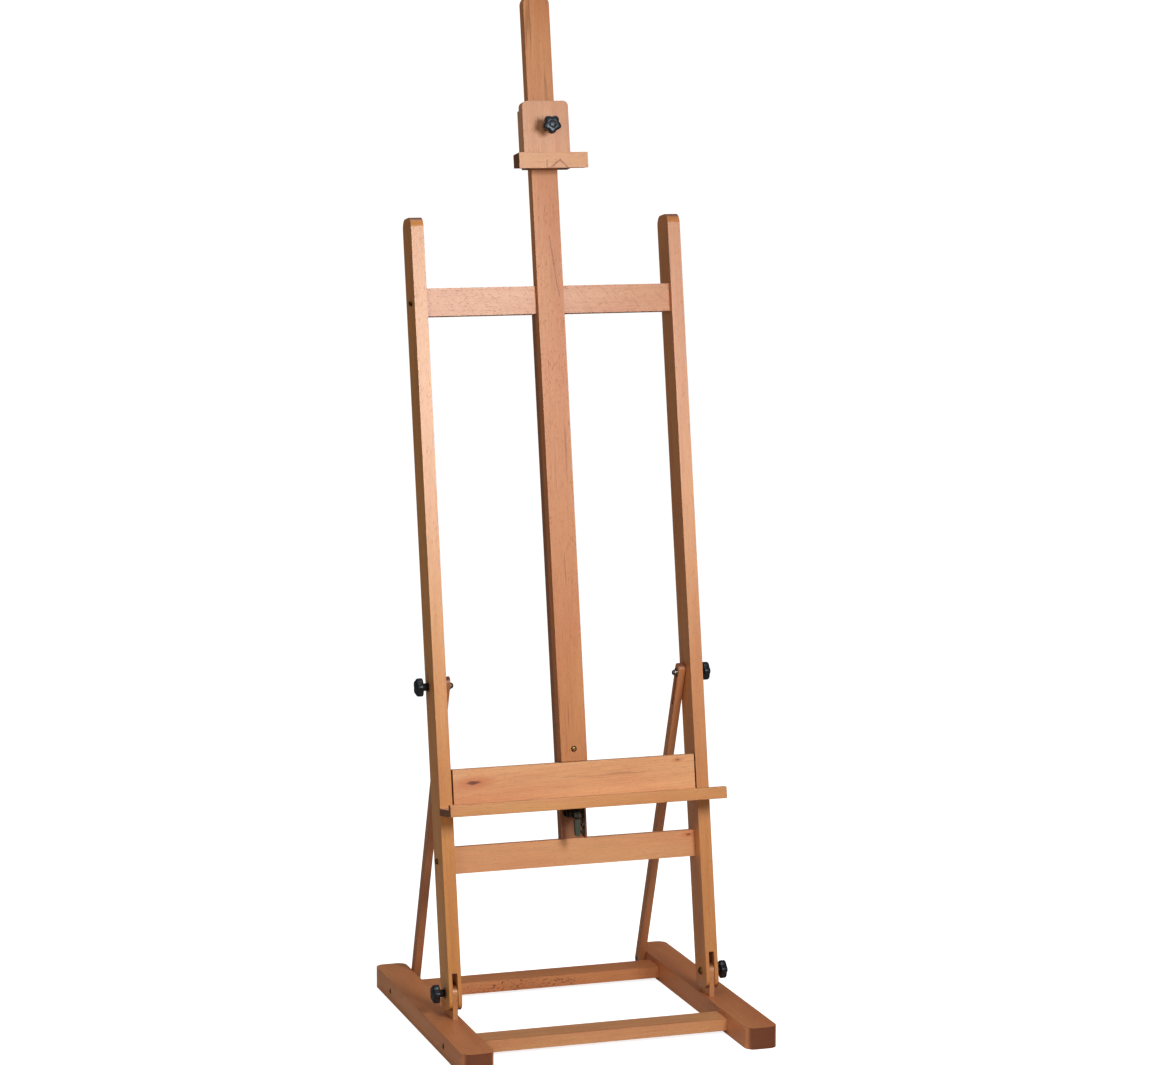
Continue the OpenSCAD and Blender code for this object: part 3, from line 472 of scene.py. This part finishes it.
def metal_material(name, colour, dark, rough, brushed):
    """Plated metal: dark where it is grimy, bright on its edges, with fine scratches."""
    material, graph, shader = new_material("metal_" + name, Metallic=1.0)
    place = graph.add("ShaderNodeTexCoord").outputs["Object"]
    cloud = graph.noise(place, (420, 420, 420), 3.0, 0.6)
    grime = graph.noise(place, (90, 90, 90), 3.0, 0.6)
    scratch = graph.noise(place, (300, 2400, 2400), 2.0)
    worn = graph.edge(0.0006)
    shade = graph.mix(graph.ramp(grime, 0.40, 0.72), colour, dark)
    bright = tuple(min(1, c * 1.5) for c in colour[:3]) + (1,)
    shade = graph.mix(graph.math("MULTIPLY", worn, 0.55), shade, bright)
    graph.put(shade, shader.inputs["Base Color"])
    value = graph.math("MULTIPLY_ADD", cloud, 0.22, rough - 0.10)
    value = graph.math("MULTIPLY_ADD", worn, -0.10, value)
    graph.put(value, shader.inputs["Roughness"])
    height = graph.math("MULTIPLY_ADD", scratch, brushed, graph.math("MULTIPLY", cloud, 0.4))
    graph.put(graph.bump(height, 0.00004, 0.5), shader.inputs["Normal"])
    return material


def plastic_material(name, colour, rough, coat, grain):
    """Moulded plastic with a fine skin, paler where it is rubbed."""
    material, graph, shader = new_material(
        "plastic_" + name,
        Specular_IOR_Level=0.6,
        Specular_Tint=(0.70, 0.84, 1.0, 1.0),
        Coat_Weight=coat,
        Coat_Roughness=0.28,
    )
    place = graph.add("ShaderNodeTexCoord").outputs["Object"]
    skin = graph.noise(place, (2600, 2600, 2600), 2.0)
    cloud = graph.noise(place, (130, 130, 130), 3.0, 0.6)
    rubbed = graph.edge(0.0012)
    pale = tuple(c * 0.8 + 0.015 for c in colour[:3]) + (1,)
    shade = graph.mix(graph.ramp(cloud, 0.35, 0.75, 0.0, 0.5), colour, pale)
    shade = graph.mix(graph.math("MULTIPLY", rubbed, 0.35), shade, pale)
    graph.put(shade, shader.inputs["Base Color"])
    value = graph.math("MULTIPLY_ADD", cloud, 0.16, rough - 0.06)
    value = graph.math("MULTIPLY_ADD", rubbed, 0.10, value)
    graph.put(value, shader.inputs["Roughness"])
    graph.put(graph.bump(skin, 0.00003 * grain, 0.6), shader.inputs["Normal"])
    return material


ZINC = metal_material("zinc", srgb(150, 146, 138), srgb(84, 76, 66), 0.36, 0.5)
DARK_STEEL = metal_material("dark_steel", srgb(86, 80, 70), srgb(40, 34, 26), 0.42, 0.4)
BRONZED = metal_material("bronzed", srgb(146, 116, 74), srgb(58, 42, 26), 0.34, 0.3)
BRASS = metal_material("brass", srgb(190, 154, 92), srgb(110, 84, 44), 0.30, 0.3)
BLACK = plastic_material("black", srgb(15, 17, 23), 0.42, 0.25, 0.6)
OLIVE = plastic_material("olive", srgb(56, 58, 30), 0.60, 0.0, 2.0)

# ---------- which material each CAD node has ----------

FRONT = -BACK
STRUT_UP = {}
for side in ("left", "right"):
    strut = NODES["strut_" + side]
    foot = Vector(JOINTS["strut_" + side + "_pivot"]["pos_m"])
    far = max((vertex.co for vertex in strut.data.vertices), key=lambda co: (co - foot).length)
    STRUT_UP[side] = Vector((0, far.y - foot.y, far.z - foot.z)).normalized()

GOLD = (206, 142, 92)
BROWN = (176, 114, 74)

LEDGE_MARKS = (
    vein(spot("holder_ledge", -0.11, -1.0), spot("holder_ledge", 0.19, 0.02), 0.0020, 0.9),
    vein(spot("holder_ledge", 0.19, 0.02), spot("holder_ledge", 0.39, -1.0), 0.0020, 0.9),
    vein(spot("holder_ledge", -0.21, -0.04), spot("holder_ledge", -0.21, -0.85), 0.0016, 0.8),
)
BOARD_MARKS = (
    eye(spot("tray_board", -0.83, 0.36), 0.017, 0.0050, 0.9),
    eye(spot("tray_board", 0.86, 0.78), 0.005, 0.0022, 0.6),
    streaks(0.4, 0.62),
)
MAST_MARKS = (
    vein(spot("mast", 0.11, 0.37), spot("mast", 0.64, 0.21), 0.0014, 0.7),
    streaks(0.5, 0.60),
)

WOOD = {
    "runner_left": Beech(BACK, UP, (206, 132, 84), 0.22),
    "runner_right": Beech(BACK, UP, (204, 130, 82), 0.22),
    "front_rail": Beech(ACROSS, FRONT, (212, 148, 98), 0.30),
    "rear_rail": Beech(
        ACROSS, FRONT, (200, 127, 78), 0.35,
        marks=(pin_knots(spot("rear_rail", -0.18, -0.2, UP, FRONT), 0.14, 0.013),),
    ),
    "tongue_left": Beech(UP, FRONT, GOLD, 0.3),
    "tongue_right": Beech(UP, FRONT, GOLD, 0.3),
    "upright_left": Beech(
        FRAME_UP, FRAME_OUT, (206, 136, 68), 0.30, oil=0.35, marks=(streaks(0.35),),
    ),
    "upright_right": Beech(
        FRAME_UP, FRAME_OUT, (198, 126, 66), 0.30, oil=0.6, marks=(streaks(0.35),),
    ),
    "upper_crossbar": Beech(
        ACROSS, FRAME_OUT, (199, 135, 93), 0.22, marks=(slanted_flecks(52, 0.24),),
    ),
    "lower_crossbar": Beech(
        ACROSS, FRAME_OUT, (220, 158, 107), 0.30,
        marks=(eye(spot("lower_crossbar", 0.95, 0.67), 0.007, 0.0025, 0.7),),
    ),
    # The back rail's hue is darker than its own beech: painted shade for the shadow that the tray
    # shelf casts over it.
    "back_rail": Beech(FRAME_UP, FRAME_OUT, (150, 93, 57), 0.3),
    # strut_left has a darker hue than strut_right, though both are the same beech: the difference
    # is painted shade on the left strut.
    "strut_left": Beech(STRUT_UP["left"], FRONT, BROWN, 0.3),
    "strut_right": Beech(STRUT_UP["right"], FRONT, (190, 124, 80), 0.3),
    "tray_board": Beech(ACROSS, FRAME_OUT, (220, 156, 104), 0.45, 2.4, marks=BOARD_MARKS),
    "tray_shelf": Beech(ACROSS, FRAME_UP, GOLD, 0.3),
    "tray_lip": Beech(ACROSS, FRAME_OUT, (208, 142, 84), 0.3),
    "tray_cheek_left": Beech(FRAME_UP, -FRAME_OUT, BROWN, 0.3),
    "tray_cheek_right": Beech(FRAME_UP, -FRAME_OUT, BROWN, 0.3),
    "tray_keeper": Beech(ACROSS, -FRAME_OUT, BROWN, 0.3),
    "mast": Beech(FRAME_UP, FRAME_OUT, (194, 124, 72), 0.25, oil=0.05, marks=MAST_MARKS),
    "holder_plate": Beech(FRAME_UP, FRAME_OUT, (204, 142, 100), 0.30),
    "holder_ledge": Beech(ACROSS, FRAME_OUT, (209, 147, 97), 0.3, marks=LEDGE_MARKS),
    "holder_cheek_left": Beech(FRAME_UP, -FRAME_OUT, BROWN, 0.3),
    "holder_cheek_right": Beech(FRAME_UP, -FRAME_OUT, BROWN, 0.3),
    "holder_back": Beech(FRAME_UP, -FRAME_OUT, GOLD, 0.35),
}
METAL = {
    "rail_bolts": BRONZED,
    "crossbar_bolts": BRONZED,
    "pivot_bolts": BRONZED,
    "mast_bolt": BRONZED,
    "strut_bolts": ZINC,
    "frame_washers": ZINC,
    "strut_pivot_screws": ZINC,
    "rail_nuts": ZINC,
    "crossbar_nuts": ZINC,
    "back_rail_screws": ZINC,
    "tray_screws": ZINC,
    "holder_screws": ZINC,
    "mast_keeper_screws": ZINC,
    "mast_keeper": ZINC,
    "mast_washer": ZINC,
    "ratchet_rack": DARK_STEEL,
    "ratchet_bracket": DARK_STEEL,
    "ratchet_shaft": DARK_STEEL,
    "ratchet_pawl": DARK_STEEL,
    "ratchet_lever": DARK_STEEL,
    "holder_stud": DARK_STEEL,
    "holder_insert": BRASS,
    "mast_guide": BLACK,
    "lever_grip": OLIVE,
}


def dress(name, material, easing):
    """Gives a CAD node its material and eased edges: weld, bevel and weighted-normal modifiers,
    with its faces set smooth.
    """
    piece = NODES[name]
    piece.material_slots[0].material = material
    weld = piece.modifiers.new("weld", "WELD")
    weld.merge_threshold = 0.001 * MM
    bevel = piece.modifiers.new("eased edges", "BEVEL")
    bevel.width = easing
    bevel.segments = 2
    bevel.limit_method = "ANGLE"
    bevel.angle_limit = math.radians(35)
    for face in piece.data.polygons:
        face.use_smooth = True
    flatten = piece.modifiers.new("flat faces", "WEIGHTED_NORMAL")
    flatten.mode = "FACE_AREA"
    flatten.weight = 100


for seed, (name, look) in enumerate(WOOD.items(), start=1):
    dress(name, beech_material(name, look, seed), WOOD_EASING)
for name, material in METAL.items():
    dress(name, material, METAL_EASING)

# ---------- knobs ----------

LOBES = 5
SIDES = 100
HUB_SHARE = 9 / 22  # of a knob's length
LOBE_MEAN = 0.905  # a knob's mean radius and the depth of its lobes, as shares of its reach
LOBE_DEPTH = 0.095
LOBE_FULLNESS = 0.07


def lobe(angle):
    """How far a knob's outline stands out at an angle: 1 at a lobe, -1 between two."""
    return math.cos(LOBES * angle) + LOBE_FULLNESS * (1 - math.cos(2 * LOBES * angle))


def knob_rings(hub, top, reach):
    """Rings up a knob, each as (height, radius, depth of the lobes)."""
    mean = reach * LOBE_MEAN
    depth = reach * LOBE_DEPTH
    hub_r = reach * 0.40
    return [
        (0.0, hub_r * 0.80, 0.0),
        (0.0, hub_r * 0.93, 0.0),
        (0.4 * MM, hub_r, 0.0),
        (hub - 2.2 * MM, hub_r * 1.02, 0.0),
        (hub - 0.9 * MM, hub_r * 1.12, 0.0),
        (hub - 0.2 * MM, hub_r * 1.38, depth * 0.10),
        (hub, hub_r * 1.62, depth * 0.30),
        (hub + 0.1 * MM, mean * 0.86, depth * 0.80),
        (hub + 0.7 * MM, mean * 0.95, depth * 0.95),
        (hub + 1.9 * MM, mean * 0.99, depth),
        (hub + 4.0 * MM, mean, depth),
        (top - 4.2 * MM, mean * 0.985, depth),
        (top - 2.6 * MM, mean * 0.95, depth),
        (top - 1.4 * MM, mean * 0.87, depth * 0.92),
        (top - 0.7 * MM, mean * 0.76, depth * 0.72),
        (top - 0.3 * MM, mean * 0.62, depth * 0.40),
        (top - 0.1 * MM, mean * 0.50, depth * 0.12),
        (top - 0.1 * MM, reach * 0.395, 0.0),
        (top - 0.8 * MM, reach * 0.375, 0.0),
        (top - 0.9 * MM, reach * 0.330, 0.0),
        (top - 0.4 * MM, reach * 0.310, 0.0),
        (top - 0.2 * MM, reach * 0.200, 0.0),
        (top - 0.1 * MM, reach * 0.060, 0.0),
    ]


def build_knob(name, joint, away):
    """A moulded knob on its joint's axis, with its head on the side that away points to."""
    axis = Vector(away).normalized()
    low, high = extent(name, axis)
    centre = Vector(JOINTS[joint]["pos_m"])
    start = centre - axis * centre.dot(axis) + axis * low
    spokes = [vertex.co - centre for vertex in NODES[name].data.vertices]
    spokes = [spoke - axis * spoke.dot(axis) for spoke in spokes]
    tip = max(spokes, key=lambda spoke: spoke.length)
    reach = tip.length
    side = tip.normalized()
    other = axis.cross(side)
    length = high - low
    bm = bmesh.new()
    rows = []
    for height, radius, depth in knob_rings(length * HUB_SHARE, length, reach):
        row = []
        for i in range(SIDES):
            angle = 2 * math.pi * i / SIDES
            r = radius + depth * lobe(angle)
            flat = (side * math.cos(angle) + other * math.sin(angle)) * r
            row.append(bm.verts.new(start + axis * height + flat))
        rows.append(row)
    for lower, upper in zip(rows, rows[1:]):
        for i in range(SIDES):
            j = (i + 1) % SIDES
            bm.faces.new((lower[i], lower[j], upper[j], upper[i]))
    bm.faces.new(rows[0][::-1])
    bm.faces.new(rows[-1])
    bmesh.ops.recalc_face_normals(bm, faces=bm.faces)
    mesh = bpy.data.meshes.new(name + "_moulded")
    bm.to_mesh(mesh)
    bm.free()
    for face in mesh.polygons:
        face.use_smooth = True
    piece = bpy.data.objects.new(name + "_moulded", mesh)
    bpy.context.scene.collection.objects.link(piece)
    piece.data.materials.append(BLACK)
    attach(piece, JOINTS[joint]["child"])
    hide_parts(name)
    return piece


for side, away in (("left", -ACROSS), ("right", ACROSS)):
    for kind in ("pivot_knob_", "strut_knob_"):
        build_knob(kind + side, kind + side + "_turn", away)
build_knob("mast_knob", "mast_knob_turn", -FRAME_OUT)
build_knob("holder_knob", "holder_knob_turn", FRAME_OUT)

# ---------- spring ----------

SPRING_WIRE = 0.6 * MM  # the wire's radius
SPRING_TURNS = 9
SPRING_STEPS = 24  # points to a turn


def build_spring(name, body):
    """A wound return spring in the place of the CAD node's rings."""
    low, high = extent(name, FRAME_OUT)
    x_low, x_high = extent(name, ACROSS)
    s_low, s_high = extent(name, FRAME_UP)
    radius = (x_high - x_low) / 2 - SPRING_WIRE
    centre = ACROSS * ((x_low + x_high) / 2) + FRAME_UP * ((s_low + s_high) / 2)
    curve = bpy.data.curves.new(name + "_wound", "CURVE")
    curve.dimensions = "3D"
    curve.bevel_depth = SPRING_WIRE
    curve.bevel_resolution = 3
    curve.use_fill_caps = True
    spline = curve.splines.new("POLY")
    steps = SPRING_TURNS * SPRING_STEPS
    spline.points.add(steps)
    for i in range(steps + 1):
        angle = 2 * math.pi * i / SPRING_STEPS
        along = low + SPRING_WIRE + (high - low - 2 * SPRING_WIRE) * i / steps
        point = centre + FRAME_OUT * along
        point += (ACROSS * math.cos(angle) + FRAME_UP * math.sin(angle)) * radius
        spline.points[i].co = (*point, 1)
    piece = bpy.data.objects.new(name + "_wound", curve)
    bpy.context.scene.collection.objects.link(piece)
    curve.materials.append(ZINC)
    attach(piece, body)
    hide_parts(name)


build_spring("ratchet_spring", NODES["ratchet_spring"]["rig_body"])

# ---------- studio ----------

FLOOR_HALF = 30
FLOOR_DROP = 0.2 * MM  # keeps the floor clear of the runners' undersides
AMBIENT = 0.22  # the world's strength as light
CAMERA_GLOW = 0.85  # added where the camera sees it
GLOSSY_DIM = 0.15  # taken off where it is reflected

CAMERA_PLACE = (-1.6353, -5.2105, 1.5682)
CAMERA_YAW = 17.54  # degrees to the right of straight back
CAMERA_PITCH = -7.65
CAMERA_ROLL = -0.15
CAMERA_LENS = 102.66  # millimetres, on a sensor 36 mm wide


def build_floor():
    """A plain pale studio floor, white to the camera and dimmer in reflections."""
    material, graph, shader = new_material("studio_floor", Roughness=0.9, Specular_IOR_Level=0.1)
    path = graph.add("ShaderNodeLightPath").outputs
    pale = graph.mix(path["Is Glossy Ray"], (0.86, 0.86, 0.86, 1), (0.30, 0.29, 0.27, 1))
    graph.put(pale, shader.inputs["Base Color"])
    glow = graph.add("ShaderNodeEmission")
    graph.put(path["Is Camera Ray"], glow.inputs["Strength"])
    glow.inputs["Color"].default_value = (0.85, 0.85, 0.85, 1)
    both = graph.add("ShaderNodeAddShader")
    graph.put(shader.outputs[0], both.inputs[0])
    graph.put(glow.outputs[0], both.inputs[1])
    output = material.node_tree.nodes["Material Output"]
    graph.put(both.outputs[0], output.inputs["Surface"])
    mesh = bpy.data.meshes.new("floor")
    corners = [(x * FLOOR_HALF, y * FLOOR_HALF, 0) for x, y in ((-1, -1), (1, -1), (1, 1), (-1, 1))]
    mesh.from_pydata(corners, [], [(0, 1, 2, 3)])
    floor = bpy.data.objects.new("floor", mesh)
    floor.location.z = -FLOOR_DROP
    floor.data.materials.append(material)
    bpy.context.scene.collection.objects.link(floor)


def build_light(name, place, target, size, power, colour=(1, 1, 1), spread=180):
    """A rectangular soft light; spread is the width of its beam in degrees."""
    data = bpy.data.lights.new(name, "AREA")
    data.shape = "RECTANGLE"
    data.size, data.size_y = size
    data.energy = power
    data.color = colour
    data.spread = math.radians(spread)
    light = bpy.data.objects.new(name, data)
    light.location = place
    aim = Vector(target) - Vector(place)
    light.rotation_mode = "QUATERNION"
    light.rotation_quaternion = aim.to_track_quat("-Z", "Y")
    bpy.context.scene.collection.objects.link(light)


def build_world():
    """White to the camera, dimmer as light, and dimmer still in reflections."""
    world = bpy.data.worlds.new("studio")
    bpy.context.scene.world = world
    world.use_nodes = True
    graph = Graph(world.node_tree)
    ground = world.node_tree.nodes["Background"]
    ground.inputs["Color"].default_value = (1, 0.99, 0.97, 1)
    path = graph.add("ShaderNodeLightPath").outputs
    strength = graph.math("MULTIPLY_ADD", path["Is Camera Ray"], CAMERA_GLOW, AMBIENT)
    strength = graph.math("MULTIPLY_ADD", path["Is Glossy Ray"], -GLOSSY_DIM, strength)
    graph.put(strength, ground.inputs["Strength"])


def build_camera():
    """In front and to the left, at eye height, looking slightly down."""
    data = bpy.data.cameras.new("camera")
    data.sensor_width = 36
    data.lens = CAMERA_LENS
    data.clip_end = 100
    camera = bpy.data.objects.new("camera", data)
    yaw, pitch, roll = (math.radians(angle) for angle in (CAMERA_YAW, CAMERA_PITCH, CAMERA_ROLL))
    level = math.cos(pitch)
    forward = Vector((math.sin(yaw) * level, math.cos(yaw) * level, math.sin(pitch)))
    turn = forward.to_track_quat("-Z", "Y").to_matrix() @ Matrix.Rotation(roll, 3, "Z")
    camera.matrix_world = Matrix.Translation(CAMERA_PLACE) @ turn.to_4x4()
    bpy.context.scene.collection.objects.link(camera)
    bpy.context.scene.camera = camera


build_floor()
build_light("key", (0.42, -2.3, 1.72), (-0.12, 0.05, 0.86), (0.65, 0.80), 12.2, spread=90)
build_light("fill", (-2.9, -2.8, 2.1), (0.0, 0.0, 0.7), (0.9, 1.0), 21, colour=(1, 0.97, 0.93))
build_light("top", (0.0, 0.5, 3.3), (0.0, 0.1, 0.0), (1.5, 1.5), 14)
build_world()
build_camera()
bpy.context.scene.view_settings.view_transform = "Standard"
